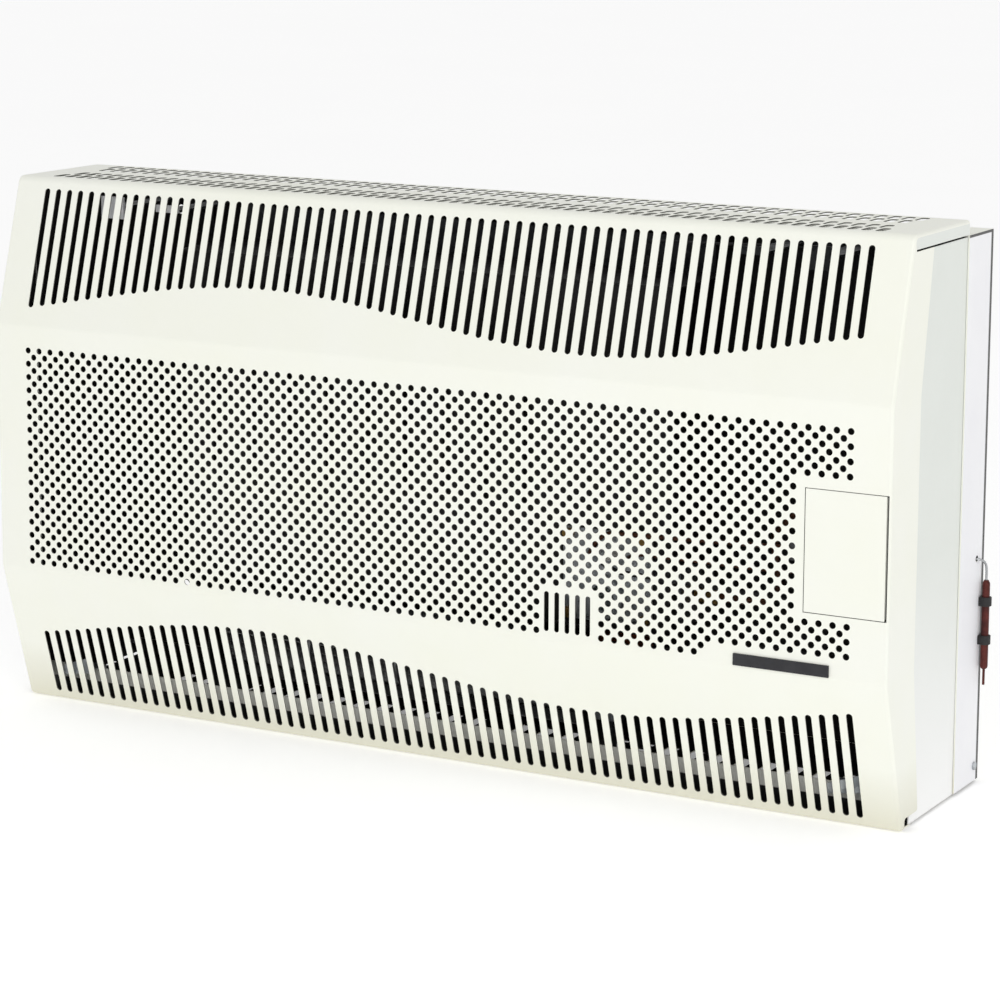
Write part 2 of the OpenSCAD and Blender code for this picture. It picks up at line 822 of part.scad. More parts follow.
module switch_rocker() {
  color("firebrick")
  union() {
    translate([rocker_x, control_y + 2, small_control_z]) rotate([8, 0, 0])
      box([-4.7, -6, -8.6], [4.7, 1.5, 8.6]);
    rod_x([rocker_x - 5.8, control_y + 2, small_control_z], 1, 11.6);
  }
}

// Inlet pipe with a G 1/2 thread size end below
module gas_inlet_pipe() {
  color("goldenrod")
  difference() {
    union() {
      rod_z([gas_x, gas_y, 6], gas_pipe_r, 16);
      translate([gas_x, gas_y, 22]) cylinder(r = 12.4, h = 7, $fn = 6);
      rod_z([gas_x, gas_y, 22], gas_tube_r, 174);
    }
    rod_z([gas_x, gas_y, 5], 6, 200);
  }
}

module union_nuts() {
  color("goldenrod") {
    difference() {
      translate([gas_x, gas_y, 178]) cylinder(r = union_r, h = 17.5, $fn = 6);
      rod_z([gas_x, gas_y, 170], gas_tube_r + 0.05, 40);
    }
    difference() {
      translate([311, valve_port_y, knob_z]) rotate([0, 90, 0]) cylinder(r = 9, h = 13.8, $fn = 6);
      rod_x([300, valve_port_y, knob_z], 4.05, 30);
    }
    difference() {
      translate([chamber_right + 12.5, 0, burner_z]) rotate([0, 90, 0]) cylinder(r = 8, h = 10, $fn = 6);
      rod_x([chamber_right + 10, 0, burner_z], 4.05, 20);
    }
  }
}

module burner_feed_pipe() {
  color("peru")
  bent_tube([[324.9, valve_port_y, knob_z], [296, valve_port_y, knob_z], [270, -30, 200],
             [262, 0, 150], [250, 0, burner_z], [chamber_right + 12.4, 0, burner_z]], 4);
}

module capillary() {
  color("lightgray")
  bent_tube([[378, -60, 205.9], [378, -60, 190], [384, -30, 186], [384, 40, 182],
             [384, bulb_y - 10, capillary_z], [bulb_x, bulb_y - 10, capillary_z], [bulb_x, bulb_y, capillary_z - 6],
             [bulb_x, bulb_y, bulb_z + bulb_len + 0.1]], 1);
}

module sensing_bulb() {
  color("sienna")
  union() {
    rod_z([bulb_x, bulb_y, bulb_z + 3], bulb_r, bulb_len - 6);
    rod_z([bulb_x, bulb_y, bulb_z + bulb_len - 4], bulb_r - 1, 4);
    translate([bulb_x, bulb_y, bulb_z + 3]) sphere(r = bulb_r);
    translate([bulb_x, bulb_y, bulb_z + bulb_len - 3]) sphere(r = bulb_r);
    rod_z([bulb_x, bulb_y, bulb_z - 12], 1, 14);
  }
}

module bulb_clips() {
  color("black")
  for (z = clip_zs)
    difference() {
      union() {
        rod_z([bulb_x, bulb_y, z], bulb_r + 1.5, 7);
        box([half_w, bulb_y - 4, z], [half_w + 3, bulb_y + 4, z + 7]);
      }
      rod_z([bulb_x, bulb_y, z - 1], bulb_r + 0.02, 9);
    }
}

module fan_wheel() {
  color(soot)
  translate([fan_x, fan_y, fan_z]) rotate([0, 90, 0])
  difference() {
    union() {
      for (z = [0 : (fan_len - 2) / 4 : fan_len - 2])
        translate([0, 0, z]) difference() {
          cylinder(r = fan_r, h = 2);
          if (z > 0 && z < fan_len - 3) translate([0, 0, -1]) cylinder(r = fan_r - 12, h = 4);
        }
      for (a = [0 : blade_count - 1])
        rotate([0, 0, a * 360 / blade_count]) translate([fan_r - 9.5, 0, 0])
          rotate([0, 0, 28]) cube([8.5, 0.8, fan_len]);
    }
    translate([0, 0, -1]) cylinder(r = shaft_r, h = fan_len + 2);
  }
}

// Shaft with the motor's rotor on its right end
module fan_shaft() {
  color("silver")
  union() {
    rod_x([fan_x - 16, fan_y, fan_z], shaft_r, fan_len + 60);
    rod_x([motor_x + 1, fan_y, fan_z], 13.2, core_t - 2);
  }
}

module fan_bushes() {
  color("goldenrod")
  for (x = [fan_x - 12, fan_right + 6])
    difference() {
      rod_x([x, fan_y, fan_z], 8, 6);
      rod_x([x - 1, fan_y, fan_z], shaft_r + running_gap, 8);
    }
}

// Scroll round the fan wheel with its two end plates
module fan_housing() {
  outer = fan_r + 7;
  color(zinc)
  difference() {
    union() {
      for (x = [fan_x - 9.5, fan_right + 8.3])
        box([x, fan_y - 40, sheet_t + 0.1], [x + 1.2, fan_y + 42, 104]);
      side_extrude(fan_x - 9.5, fan_len + 19)
        difference() {
          translate([fan_y, fan_z]) circle(r = outer + 1);
          translate([fan_y, fan_z]) circle(r = outer);
          translate([fan_y - 60, fan_z - 20]) square([60, 80]);
          translate([fan_y - 60, fan_z]) square([120, 80]);
        }
      box([fan_x - 9.5, fan_y + outer, fan_z], [fan_right + 9.5, fan_y + outer + 1, 104]);
      box([fan_x - 9.5, fan_y - outer + 2, 78], [fan_right + 9.5, fan_y - outer + 3, 104]);
    }
    for (x = [fan_x - 12, fan_right + 6])
      rod_x([x - 1, fan_y, fan_z], 8.1, 9);
  }
}

module motor_core() {
  color("gray")
  difference() {
    box([motor_x, fan_y - 30, fan_z - 24], [motor_x + core_t, fan_y + 30, fan_z + 36]);
    rod_x([motor_x - 1, fan_y, fan_z], 14, core_t + 2);
    box([motor_x - 1, fan_y - 18, fan_z + 16], [motor_x + core_t + 1, fan_y + 18, fan_z + 26]);
  }
}

module motor_coil() {
  color("chocolate")
  difference() {
    box([motor_x - 8, fan_y - 15, fan_z + 16.5], [motor_x + core_t + 8, fan_y + 15, fan_z + 44]);
    box([motor_x - 0.5, fan_y - 20, fan_z + 25.8], [motor_x + core_t + 0.5, fan_y + 20, fan_z + 36.2]);
  }
}

// Feet that carry the motor on the base pan
module motor_bracket() {
  base = sheet_t + 0.1;
  color(zinc)
  for (y = [fan_y - 28, fan_y + 20]) {
    box([motor_x - 6, y, base], [motor_x + core_t + 6, y + 8, base + 1.5]);
    box([motor_x + 6, y, base], [motor_x + 14, y + 8, fan_z - 24.1]);
  }
}

// Bimetal switch that starts the fan when the chamber is warm
module fan_thermostat() {
  color("black")
  union() {
    rod_z([150, 0, chamber_top + 0.1], 9, 8);
    for (y = [-5, 5])
      box([147, y - 0.5, chamber_top + 8], [153, y + 0.5, chamber_top + 16]);
  }
}

module terminal_block() {
  color("whitesmoke")
  difference() {
    box([300, wall_y - 22, 60], [318, wall_y - plate_t - 0.1, 108]);
    for (z = [66 : 12 : 102])
      rod_x([310, terminal_y, z], 2.5, 10);
  }
}

// Leads from the terminal block to the switch, the motor and the fan thermostat
module wiring() {
  color("black") {
    bent_tube([[311, terminal_y, 66], [328, terminal_y, 66], [336, 10, 120], [378, -14, 150],
               [378, -40, 181], [rocker_x, -52, 181], [rocker_x, control_y + 26.2, 181]], 1.2);
    bent_tube([[311, terminal_y, 78], [328, terminal_y, 78], [322, 40, 84], [300, 40, 92],
               [240, 20, 100], [160, 4, 92], [motor_x + core_t + 8.6, 4, 92]], 1.2);
    bent_tube([[311, terminal_y, 90], [328, terminal_y, 90], [324, terminal_y - 8, 380], [300, 40, 412],
               [180, 5, 412], [150, 5, 412], [150, 5, chamber_top + 16.2]], 1.2);
  }
}

module cable_gland() {
  color("black")
  difference() {
    union() {
      rod_z([330, gland_y, 0], 8, 14);
      translate([330, gland_y, sheet_t + 0.1]) cylinder(r = 12, h = 5, $fn = 6);
    }
    rod_z([330, gland_y, -1], 4, 20);
  }
}

front_cover();
side_panel_left();
side_panel_right();
wall_frame();
base_pan();
control_door();
hinge_brackets();
door_magnet();
nameplate();
cover_hooks();
cover_clips();
casing_screws();
combustion_chamber();
chamber_brackets();
heat_shield();
burner_hatch();
hatch_gasket();
hatch_nuts();
sight_glass();
sight_glass_ring();
intake_collar();
exhaust_pipe();
flue_gasket();
intake_duct();
burner_tube();
burner_flange();
gas_injector();
pilot_burner();
thermocouple();
spark_electrode();
ignition_lead();
pilot_tube();
gas_valve();
valve_bracket();
valve_spindle();
spring_cup();
control_knob();
control_panel();
igniter_body();
igniter_button();
switch_body();
switch_rocker();
gas_inlet_pipe();
union_nuts();
burner_feed_pipe();
capillary();
sensing_bulb();
bulb_clips();
fan_wheel();
fan_shaft();
fan_bushes();
fan_housing();
motor_core();
motor_coil();
motor_bracket();
fan_thermostat();
terminal_block();
wiring();
cable_gland();
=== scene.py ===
"""Visual model of a gas fan convector heater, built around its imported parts.

Lengths are in metres, in the part's own frame: X along the front, Y from the front to the wall, Z up.
"""

import json
import math

import bpy
from mathutils import Matrix, Vector


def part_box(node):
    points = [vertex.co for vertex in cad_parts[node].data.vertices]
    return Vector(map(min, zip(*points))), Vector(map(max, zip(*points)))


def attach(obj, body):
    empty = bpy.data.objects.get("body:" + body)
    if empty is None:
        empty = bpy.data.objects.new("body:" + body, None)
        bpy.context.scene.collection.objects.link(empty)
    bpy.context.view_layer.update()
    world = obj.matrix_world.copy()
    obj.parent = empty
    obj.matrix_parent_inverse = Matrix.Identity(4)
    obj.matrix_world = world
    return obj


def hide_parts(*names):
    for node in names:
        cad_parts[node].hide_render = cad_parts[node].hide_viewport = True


MM = 0.001

# Camera: the photograph's viewing angle
CAMERA_PLACE = (1.2433, -2.2178, 0.7172)
CAMERA_YAW = 28.941
CAMERA_TILT = 80.142
CAMERA_ROLL = 0.248
CAMERA_LENS = 116.95
CAMERA_SHIFT_Y = -0.1

# Surroundings: the sky's strength at the horizon and overhead, and a floor that glows a little
SKY_LOW = 0.79
SKY_HIGH = 0.66
FLOOR_REACH = 30.0
FLOOR_DROP = 0.5 * MM
FLOOR_GLOW = 0.27

# Folded sheet of the cover, seen from the side
SHEET = 0.9 * MM
BOTTOM_LIP = 22 * MM
LEAN_LOW = 36 * MM
FOLD_LOW = 118 * MM
FOLD_HIGH = 321 * MM
LEAN_TOP = 34 * MM
FOLD_RADII = (4 * MM, 14 * MM, 14 * MM, 7 * MM)
FOLD_STEPS = 6

# Flat bands between the folds, from the bottom lip up the front and back along the top
LIP_BAND, LOW_BAND, MIDDLE_BAND, HIGH_BAND, TOP_BAND = range(5)

# Rolled side edges and returns of the cover
CORNER_R = 2.6 * MM
CORNER_STEPS = 4
RETURN_DEPTH = 52 * MM
RETURN_LEAN_TOP = 18 * MM
RETURN_LEAN_LOW = 14 * MM
RETURN_FOOT = 9 * MM
RETURN_TOE = 5 * MM
RETURN_R = 3 * MM
LIP_NOTCH = BOTTOM_LIP - RETURN_TOE
FLANGE = 11 * MM
SEAM = 1.5 * MM
SEAM_START = 2 * MM

# Upright slots, which end at a wavy line
PITCH = 11 * MM
HALF_PITCH = PITCH / 2
SLOT_COUNT = 67
SLOT_W = 5 * MM
LOW_SLOT_START = 7 * MM
LOW_SLOT_END = 77 * MM
HIGH_SLOT_START = 351 * MM
HIGH_SLOT_MARGIN = 9 * MM
WAVE = 14.3 * MM
WAVE_TURN = math.radians(0.606) / MM
WAVE_DROOP = 1.21e-7 / MM**2

# Short slots in the top: each row's place in Y, and 1 if it is shifted by half a pitch
TOP_ROWS = ((-59 * MM, 0), (-39 * MM, 1), (-4 * MM, 1), (16 * MM, 0))
TOP_ROW_MARGIN = 0.4 * MM
TOP_SLOT_W = 7 * MM
TOP_SLOT_LENGTH = 19 * MM

# Field of round holes, its rows and columns half a pitch apart
HOLE_R = 2.6 * MM
HOLE_SIDES = 12
FIELD_COLUMNS = 133
FIELD_ROWS = 33
FIELD_TOP = 301 * MM
FIELD_BOTTOM = FIELD_TOP - (FIELD_ROWS - 0.5) * HALF_PITCH

# Plain sheet in the field, in rows from its top and columns from its right end
DOOR_ROWS = range(7, 26)
DOOR_COLUMNS = 7
FOOT_ROW = 30
FOOT_COLUMNS = 20
DOOR_GAP = 0.6 * MM

# Sight slots, in their own patch at the foot of the field
SIGHT_LEFT = 10.5 * PITCH
SIGHT_RIGHT = 14.5 * PITCH
SIGHT_TOP = FIELD_TOP - 25.5 * HALF_PITCH
SIGHT_COUNT = 5
SIGHT_MIDDLE = 136.1 * MM
SIGHT_PITCH = 8.8 * MM
SIGHT_SLOT_W = 4 * MM
SIGHT_START = 125 * MM
SIGHT_LENGTH = 31 * MM

# Numbers of the cover's finishes; all but the outer one are painted shade: on the inner face, on the
# top flange of each return, and on the rims of slots and holes
OUTER, INNER, FLANGE_SHADE, RIM_SHADE = range(4)

# Where a finish turns dark along an axis, as the first trace and the full tone: on the wall frame,
# and low on the base pan's lip as painted shade
FRAME_TOP_EDGE = (426.2 * MM, 426.6 * MM)
FRAME_WALL_EDGE = (75.5 * MM, 76 * MM)
LIP_SHADE = (12.6 * MM, 11.8 * MM)

# Finishes of single faces: the least share of a normal along an axis for its face to look that
# way, and the places that part one finish from another
FACING = 0.7
BACK_INSIDE = 35 * MM
PAN_FLOOR = 5 * MM
HOOK_TIPS = -50 * MM

# Rounding of the CAD parts' edges
SOFT_EDGE = 0.3 * MM

# Lengths nearer than this are the same
TINY = 1e-7


def snap(length):
    """A length rounded so that places that meet are equal."""
    return round(length, 7)


def material_tree(name):
    """A new material, its node tree and its Principled shader."""
    made = bpy.data.materials.new(name)
    made.use_nodes = True
    tree = made.node_tree
    return made, tree, tree.nodes["Principled BSDF"]


def linear(colour):
    """A linear colour from one written in sRGB, 0 to 255."""
    def channel(v):
        v /= 255
        return v / 12.92 if v <= 0.04045 else ((v + 0.055) / 1.055) ** 2.4
    return tuple(channel(v) for v in colour) + (1.0,)


def object_place(tree):
    """The place on the surface, in the object's own coordinates."""
    return tree.nodes.new("ShaderNodeTexCoord").outputs["Object"]


def object_noise(tree, scale, detail=3.0):
    """Noise in the object's own coordinates; scale is in features per metre."""
    noise = tree.nodes.new("ShaderNodeTexNoise")
    noise.inputs["Scale"].default_value = scale
    noise.inputs["Detail"].default_value = detail
    noise.inputs["Roughness"].default_value = 0.55
    tree.links.new(object_place(tree), noise.inputs["Vector"])
    return noise.outputs["Fac"]


def along_axis(tree, place, axis):
    """One axis of a place."""
    split = tree.nodes.new("ShaderNodeSeparateXYZ")
    tree.links.new(place, split.inputs["Vector"])
    return split.outputs[axis]


def ramp(tree, source, low, high, out_low, out_high):
    """Maps a value from one range to another, clamped."""
    node = tree.nodes.new("ShaderNodeMapRange")
    node.inputs["From Min"].default_value = low
    node.inputs["From Max"].default_value = high
    node.inputs["To Min"].default_value = out_low
    node.inputs["To Max"].default_value = out_high
    tree.links.new(source, node.inputs["Value"])
    return node.outputs["Result"]


def mix(tree, fac, a, b):
    """Mixes two colours, each a colour or a socket."""
    node = tree.nodes.new("ShaderNodeMix")
    node.data_type = "RGBA"
    tree.links.new(fac, node.inputs["Factor"])
    for socket, value in ((node.inputs["A"], a), (node.inputs["B"], b)):
        if isinstance(value, bpy.types.NodeSocket):
            tree.links.new(value, socket)
        else:
            socket.default_value = value
    return node.outputs["Result"]


def mottled(tree, colour, tone, scale, detail=3.0):
    """Two near colours in soft patches."""
    patches = ramp(tree, object_noise(tree, scale, detail), 0.35, 0.65, 0, 1)
    return mix(tree, patches, linear(colour), linear(tone))


def uneven_gloss(tree, shader, scale, detail, low, high):
    """Roughness that wanders between two values."""
    rough = ramp(tree, object_noise(tree, scale, detail), 0.3, 0.7, low, high)
    tree.links.new(rough, shader.inputs["Roughness"])


def bump(tree, shader, height, distance, strength=1.0):
    """Bumps the shader's normal by a height of 0 to 1 over a distance in metres."""
    node = tree.nodes.new("ShaderNodeBump")
    node.inputs["Strength"].default_value = strength
    node.inputs["Distance"].default_value = distance
    tree.links.new(height, node.inputs["Height"])
    tree.links.new(node.outputs["Normal"], shader.inputs["Normal"])


def orange_peel(tree, shader):
    """The fine relief of sprayed paint."""
    bump(tree, shader, object_noise(tree, 620, 2), 0.06 * MM, 0.6)


def powder_coat(name, colour, tone, low_painted_shading, low_to=50 * MM):
    """Satin powder coat with orange peel, faint mottling and another tone low down, which is painted
    light and shade.
    """
    made, tree, shader = material_tree(name)
    rise = ramp(tree, along_axis(tree, object_place(tree), "Z"), 0, low_to, 0, 1)
    body = mix(tree, rise, linear(low_painted_shading), mottled(tree, colour, tone, 9))
    tree.links.new(body, shader.inputs["Base Color"])
    uneven_gloss(tree, shader, 260, 2, 0.36, 0.47)
    shader.inputs["Specular IOR Level"].default_value = 0.5
    shader.inputs["Coat Weight"].default_value = 0.12
    shader.inputs["Coat Roughness"].default_value = 0.3
    orange_peel(tree, shader)
    return made


def dark_past_edges(name, colour, tone, dark, edges):
    """A satin finish that turns dark past each of its edges, given as (axis, (trace, full))."""
    made, tree, shader = material_tree(name)
    body = mottled(tree, colour, tone, 12)
    for axis, (trace, full) in edges:
        past = ramp(tree, along_axis(tree, object_place(tree), axis), trace, full, 0, 1)
        body = mix(tree, past, body, linear(dark))
    tree.links.new(body, shader.inputs["Base Color"])
    uneven_gloss(tree, shader, 260, 2, 0.4, 0.52)
    orange_peel(tree, shader)
    return made


def plain(name, colour, tone, rough, metal=0.0, mottle=60, grain=900, relief=0.04 * MM, **extra):
    """A finish with mottled colour, uneven gloss and a fine grain."""
    made, tree, shader = material_tree(name)
    tree.links.new(mottled(tree, colour, tone, mottle, 4), shader.inputs["Base Color"])
    uneven_gloss(tree, shader, mottle * 2.3, 3, rough * 0.85, rough * 1.2)
    shader.inputs["Metallic"].default_value = metal
    for socket, value in extra.items():
        shader.inputs[socket.replace("_", " ")].default_value = value
    bump(tree, shader, object_noise(tree, grain), relief)
    return made


def zinc_sheet(name, dark, light):
    """Galvanised sheet with crystals of spangle."""
    made, tree, shader = material_tree(name)
    crystals = tree.nodes.new("ShaderNodeTexVoronoi")
    crystals.inputs["Scale"].default_value = 150
    crystals.inputs["Randomness"].default_value = 1.0
    tree.links.new(object_place(tree), crystals.inputs["Vector"])
    split = tree.nodes.new("ShaderNodeSeparateColor")
    tree.links.new(crystals.outputs["Color"], split.inputs["Color"])
    body = mix(tree, split.outputs["Red"], linear(dark), linear(light))
    tree.links.new(body, shader.inputs["Base Color"])
    tree.links.new(ramp(tree, split.outputs["Green"], 0, 1, 0.34, 0.55), shader.inputs["Roughness"])
    shader.inputs["Metallic"].default_value = 0.85
    bump(tree, shader, object_noise(tree, 700), 0.03 * MM)
    return made


def banded(name, colour, tone, rough, metal, spacing, relief):
    """A finish with fine parallel bands across X, as on laminations or a winding."""
    made, tree, shader = material_tree(name)
    wave = tree.nodes.new("ShaderNodeTexWave")
    wave.bands_direction = "X"
    wave.inputs["Scale"].default_value = math.tau / (20 * spacing)
    wave.inputs["Distortion"].default_value = 0.4
    wave.inputs["Detail"].default_value = 1.0
    tree.links.new(object_place(tree), wave.inputs["Vector"])
    body = mix(tree, wave.outputs["Fac"], linear(colour), linear(tone))
    tree.links.new(body, shader.inputs["Base Color"])
    uneven_gloss(tree, shader, 300, 3, rough * 0.85, rough * 1.2)
    shader.inputs["Metallic"].default_value = metal
    bump(tree, shader, wave.outputs["Fac"], relief)
    return made


def make_materials():
    """Every finish by its name: the record's slots, and six more for single faces and parts."""
    return {
        # Cream, darker towards the floor as painted shade
        "cream_powder_coat": powder_coat(
            "cream_powder_coat", (247, 248, 239), (246, 247, 235), (226, 224, 206)),
        # Side panels' grey, lighter towards the floor as painted light
        "side_powder_coat": powder_coat(
            "side_powder_coat", (230, 234, 228), (227, 231, 225), (250, 250, 249), 200 * MM),
        # Wall frame: darker along its top edge and along its edge at the wall
        "frame_edges": dark_past_edges(
            "frame_edges", (247, 247, 249), (243, 243, 246), (70, 70, 70),
            (("Z", FRAME_TOP_EDGE), ("Y", FRAME_WALL_EDGE))),
        # Base pan's lip: a little whiter than the cream as painted light, near black below LIP_SHADE
        # as painted shade
        "lip_light_and_shade": dark_past_edges(
            "lip_light_and_shade", (250, 250, 242), (246, 246, 236), (15, 15, 15), (("Z", LIP_SHADE),)),
        "zinc_sheet": zinc_sheet("zinc_sheet", (150, 156, 160), (196, 200, 203)),
        # A darker copy of the zinc for parts deep inside: painted shade
        "shaded_zinc": zinc_sheet("shaded_zinc", (44, 46, 48), (64, 66, 67)),
        # A lighter, nearly matt zinc for the left hook tips: painted light
        "lit_zinc": plain("lit_zinc", (240, 242, 243), (250, 250, 250), 0.45, 0.1),
        # A shaded cream for the rims of the cover's slots and holes: painted shade
        "shaded_rims": plain("shaded_rims", (112, 112, 106), (124, 124, 116), 0.5, mottle=200),
        # Near black for faces inside the heater: painted shade
        "inside_shade": plain(
            "inside_shade", (15, 15, 15), (22, 21, 20), 0.75, mottle=20, grain=700),
        "black_enamel": plain(
            "black_enamel", (14, 14, 15), (24, 22, 21), 0.5, mottle=30, grain=500),
        "cast_aluminium": plain(
            "cast_aluminium", (150, 152, 152), (176, 177, 176), 0.5, 0.9, grain=520,
            relief=0.1 * MM),
        "bright_steel": plain("bright_steel", (196, 198, 200), (214, 215, 216), 0.22, 1.0),
        "steel_tube": plain("steel_tube", (168, 170, 172), (186, 188, 190), 0.3, 1.0),
        "brass": plain("brass", (148, 118, 66), (170, 138, 82), 0.36, 0.95),
        "copper": plain("copper", (92, 60, 48), (116, 78, 62), 0.4, 0.9),
        "bulb_copper": plain("bulb_copper", (66, 28, 26), (98, 44, 38), 0.4, 0.6, mottle=120),
        "dark_nameplate": plain("dark_nameplate", (34, 34, 38), (44, 44, 48), 0.35, 0.2),
        "black_plastic": plain("black_plastic", (22, 22, 23), (30, 30, 31), 0.48, grain=1400),
        "red_plastic": plain("red_plastic", (168, 28, 24), (184, 40, 32), 0.35, grain=1400),
        "nylon_white": plain("nylon_white", (226, 226, 220), (234, 234, 228), 0.45),
        "lead_insulation": plain("lead_insulation", (26, 26, 28), (40, 38, 38), 0.5),
        "white_ceramic": plain("white_ceramic", (232, 228, 218), (240, 238, 230), 0.28),
        "heat_glass": plain(
            "heat_glass", (206, 222, 220), (214, 228, 226), 0.06,
            Transmission_Weight=0.9, IOR=1.47),
        "fibre_gasket": plain(
            "fibre_gasket", (150, 146, 136), (176, 172, 160), 0.95, mottle=400, grain=1500,
            relief=0.2 * MM),
        "magnet": plain("magnet", (44, 43, 44), (58, 57, 57), 0.6),
        "laminated_iron": banded(
            "laminated_iron", (70, 72, 76), (120, 122, 126), 0.45, 0.9, 0.7 * MM, 0.06 * MM),
        "coil_varnish": banded(
            "coil_varnish", (110, 44, 20), (168, 84, 40), 0.3, 0.5, 0.6 * MM, 0.1 * MM),
    }


class Profile:
    """The folded line of the cover, seen from the side, measured along its outer face."""

    def __init__(self, path, radii):
        self.pieces = []
        self.bands = []
        start = path[0]
        travelled = 0.0
        for k, radius in enumerate(radii, start=1):
            corner = path[k]
            back = (path[k - 1] - corner).normalized()
            ahead = (path[k + 1] - corner).normalized()
            half = back.angle(ahead) / 2
            reach = radius / math.tan(half)
            entry = corner + back * reach
            leave = corner + ahead * reach
            centre = corner + (back + ahead).normalized() * radius / math.sin(half)
            travelled = self.add_line(start, entry, travelled)
            first, last = entry - centre, leave - centre
            angle = math.atan2(first.y, first.x)
            turn = (math.atan2(last.y, last.x) - angle + math.pi) % math.tau - math.pi
            length = abs(turn) * radius
            self.pieces.append(("arc", travelled, travelled + length, centre, radius, angle, turn))
            travelled += length
            start = leave
        self.add_line(start, path[-1], travelled)

    def add_line(self, a, b, travelled):
        """Adds a straight band from a to b, and gives the distance travelled at its end."""
        length = (b - a).length
        self.pieces.append(("line", travelled, travelled + length, a, (b - a).normalized()))
        self.bands.append((travelled, travelled + length))
        return travelled + length

    def at(self, s):
        """The point and the outward normal at a distance along the line, as (y, z) pairs."""
        for piece in self.pieces:
            if s <= piece[2] + TINY:
                break
        if piece[0] == "line":
            _, start, _, origin, along = piece
            return origin + along * (s - start), Vector((-along.y, along.x))
        _, start, end, centre, radius, angle, turn = piece
        a = angle + turn * (s - start) / (end - start)
        outward = Vector((math.cos(a), math.sin(a)))
        return centre + outward * radius, outward

    def where(self, z, band):
        """The distance along the line at which a band is at height z."""
        start, end = self.bands[band]
        low, high = self.at(start)[0].y, self.at(end)[0].y
        return start + (end - start) * (z - low) / (high - low)

    def arc_steps(self, k, steps):
        """Distances along fold k."""
        start, end = self.bands[k][1], self.bands[k + 1][0]
        return [start + (end - start) * n / steps for n in range(steps + 1)]


class FlatSheet:
    """A flat sheet cut into axis-parallel cells, each with an optional hole."""

    def __init__(self):
        self.cells = []

    def cell(self, x0, x1, s0, s1, hole=None):
        """Adds a cell; a hole is its middle in X and its rim, and is within the cell."""
        self.cells.append((x0, x1, s0, s1, hole))

    def outlines(self):
        """Polygons that meet vertex to vertex, counter-clockwise, with the rims of the holes."""
        rows, columns = {}, {}
        for x0, x1, s0, s1, hole in self.cells:
            for x in (x0, x1, hole[0]) if hole else (x0, x1):
                for s in (s0, s1):
                    rows.setdefault(snap(s), set()).add(snap(x))
                    columns.setdefault(snap(x), set()).add(snap(s))

        def edge(a, b):
            """Points from a up to but not including b, with every vertex between them."""
            if a[1] == b[1]:
                between = [(x, a[1]) for x in rows[a[1]] if min(a[0], b[0]) < x < max(a[0], b[0])]
            else:
                between = [(a[0], s) for s in columns[a[0]] if min(a[1], b[1]) < s < max(a[1], b[1])]
            return [a] + sorted(between, reverse=a > b)

        def around(corners):
            """Points along a line of corners, up to but not including the last one."""
            corners = [(snap(x), snap(s)) for x, s in corners]
            return [point for a, b in zip(corners, corners[1:]) for point in edge(a, b)]

        polygons = []
        for x0, x1, s0, s1, hole in self.cells:
            if not hole:
                polygons.append(around([(x0, s0), (x1, s0), (x1, s1), (x0, s1), (x0, s0)]))
                continue
            middle, rim = hole
            rim = [(snap(x), snap(s)) for x, s in rim]
            top = max(range(len(rim)), key=lambda n: rim[n][1])
            right, left = rim[:top + 1], rim[top:] + rim[:1]
            polygons.append(
                around([(middle, s0), (x1, s0), (x1, s1), (middle, s1)])
                + [(snap(middle), snap(s1))] + right[::-1])
            polygons.append(
                around([(middle, s1), (x0, s1), (x0, s0), (middle, s0)])
                + [(snap(middle), snap(s0))] + left[::-1])
        return polygons


def round_hole(x, s):
    """A round hole, counter-clockwise from its lowest point."""
    turns = [-math.pi / 2 + math.tau * n / HOLE_SIDES for n in range(HOLE_SIDES)]
    return x, [(x + HOLE_R * math.cos(a), s + HOLE_R * math.sin(a)) for a in turns]


def slot_hole(x, s0, s1, width=SLOT_W, steps=4):
    """A slot with round ends, counter-clockwise from its lowest point."""
    r = width / 2
    turns = [math.pi / 2 * n / steps for n in range(2 * steps + 1)]
    rim = [(x + r * math.sin(a), s0 + r - r * math.cos(a)) for a in turns[:steps + 1]]
    rim += [(x + r * math.cos(a), s1 - r + r * math.sin(a)) for a in turns]
    rim += [(x - r * math.cos(a), s0 + r - r * math.sin(a)) for a in turns[:steps]]
    return x, rim


def wave_at(x):
    """How far the wavy line at which the slots end lies below its middle."""
    return WAVE * math.sin(WAVE_TURN * x) - WAVE_DROOP * x**3


def slot_columns(count=SLOT_COUNT):
    """Middles of a row of slots."""
    return [(i - (count - 1) / 2) * PITCH for i in range(count)]


def slot_row(sheet, edge, s0, s1, holes):
    """A row of cells with a slot in each, and a plain margin at both ends."""
    for hole in holes:
        sheet.cell(hole[0] - HALF_PITCH, hole[0] + HALF_PITCH, s0, s1, hole)
    reach = len(holes) * HALF_PITCH
    sheet.cell(-edge, -reach, s0, s1)
    sheet.cell(reach, edge, s0, s1)


def grille_band(sheet, profile, band, edge, lowest, highest):
    """A band of upright slots, between two heights that depend on X."""
    holes = [slot_hole(x, profile.where(lowest(x), band), profile.where(highest(x), band))
             for x in slot_columns()]
    slot_row(sheet, edge, *profile.bands[band], holes)


def top_band(sheet, profile, edge):
    """The top grille: rows of short slots in two pairs, some shifted by half a pitch."""
    s0, s1 = profile.bands[TOP_BAND]
    y0 = profile.at(s0)[0].x
    limit = s0
    for y, shifted in TOP_ROWS:
        middle = s0 + y - y0
        low, high = middle - TOP_SLOT_LENGTH / 2, middle + TOP_SLOT_LENGTH / 2
        row_low, row_high = low - TOP_ROW_MARGIN, high + TOP_ROW_MARGIN
        sheet.cell(-edge, edge, limit, row_low)
        columns = slot_columns(SLOT_COUNT - shifted)
        slot_row(sheet, edge, row_low, row_high,
                 [slot_hole(x, low, high, TOP_SLOT_W) for x in columns])
        limit = row_high
    sheet.cell(-edge, edge, limit, s1)


